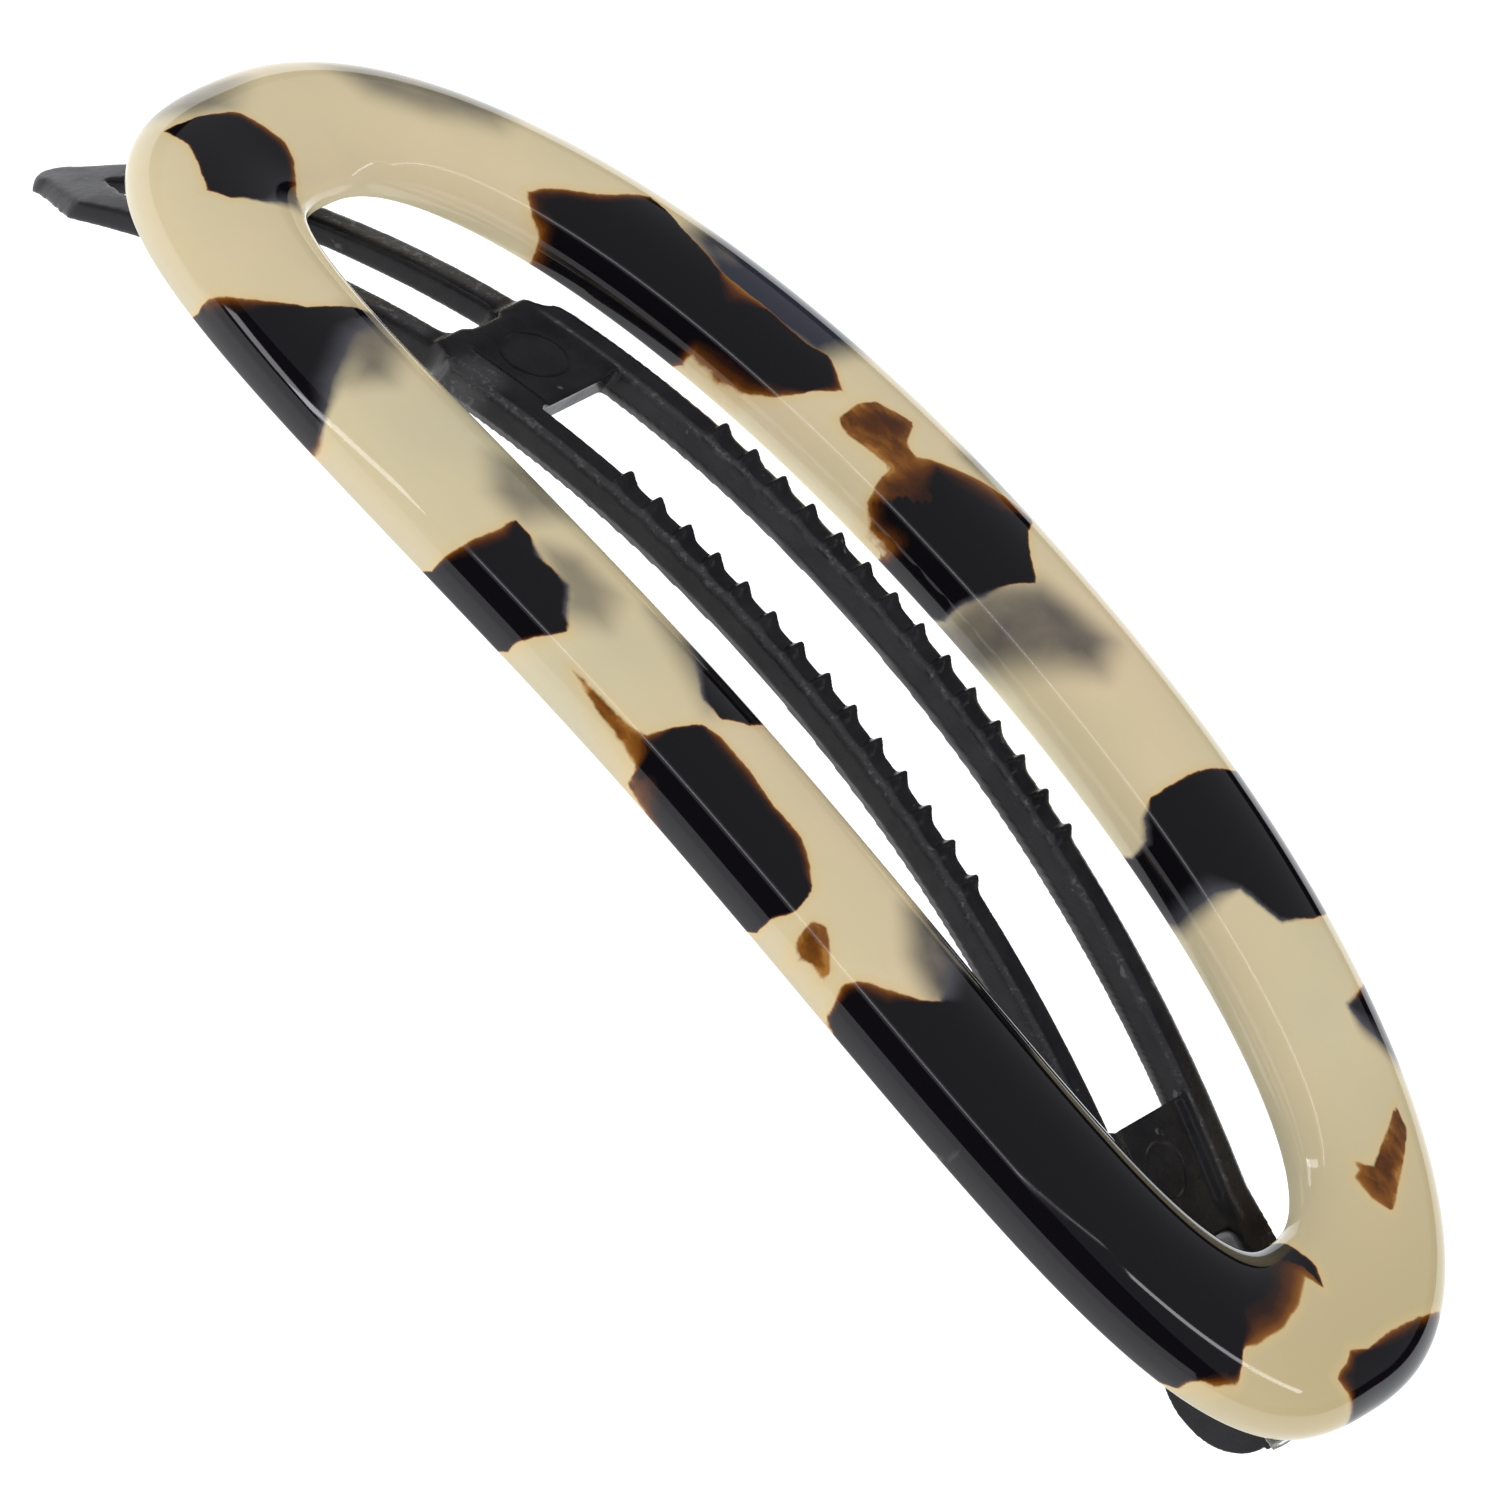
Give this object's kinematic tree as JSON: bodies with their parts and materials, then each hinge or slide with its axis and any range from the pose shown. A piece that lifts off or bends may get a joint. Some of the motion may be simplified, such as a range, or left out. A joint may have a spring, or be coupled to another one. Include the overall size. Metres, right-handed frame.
{
  "type": "barrette",
  "caption": "Open oval hair barrette: a bent tortoiseshell ring with a toothed, slotted moulded bow hinged underneath that snaps over a catch.",
  "frame": {"origin": "on the underside of the ring at its crown, midway between its bands, where it lies on the hair", "axes": "+X along the ring towards the hinge, +Y across the ring, +Z outwards from the hair through the domed side"},
  "size_m": [0.0937, 0.0334, 0.0215],
  "materials": {
    "tortoise_acetate": "polished cellulose acetate, cream with near-black flakes and brown translucent edges",
    "black_nylon": "injection-moulded nylon, satin with polished tongue",
    "pin_steel": "plain drawn steel wire",
    "clear_adhesive": "clear cured glue"
  },
  "bodies": {
    "ring": {"acetate_ring": "tortoise_acetate", "hinge_foot": "black_nylon", "hinge_pin": "pin_steel", "catch_foot": "black_nylon", "hinge_adhesive": "clear_adhesive", "catch_adhesive": "clear_adhesive"},
    "bow": {"toothed_bow": "black_nylon"}
  },
  "joints": [
    {"name": "bow_swing", "type": "hinge", "parent": "ring", "child": "bow", "pos_m": [0.039, 0, -0.00855], "axis": [0, -1, 0], "range_deg": [0, 70]}
  ]
}
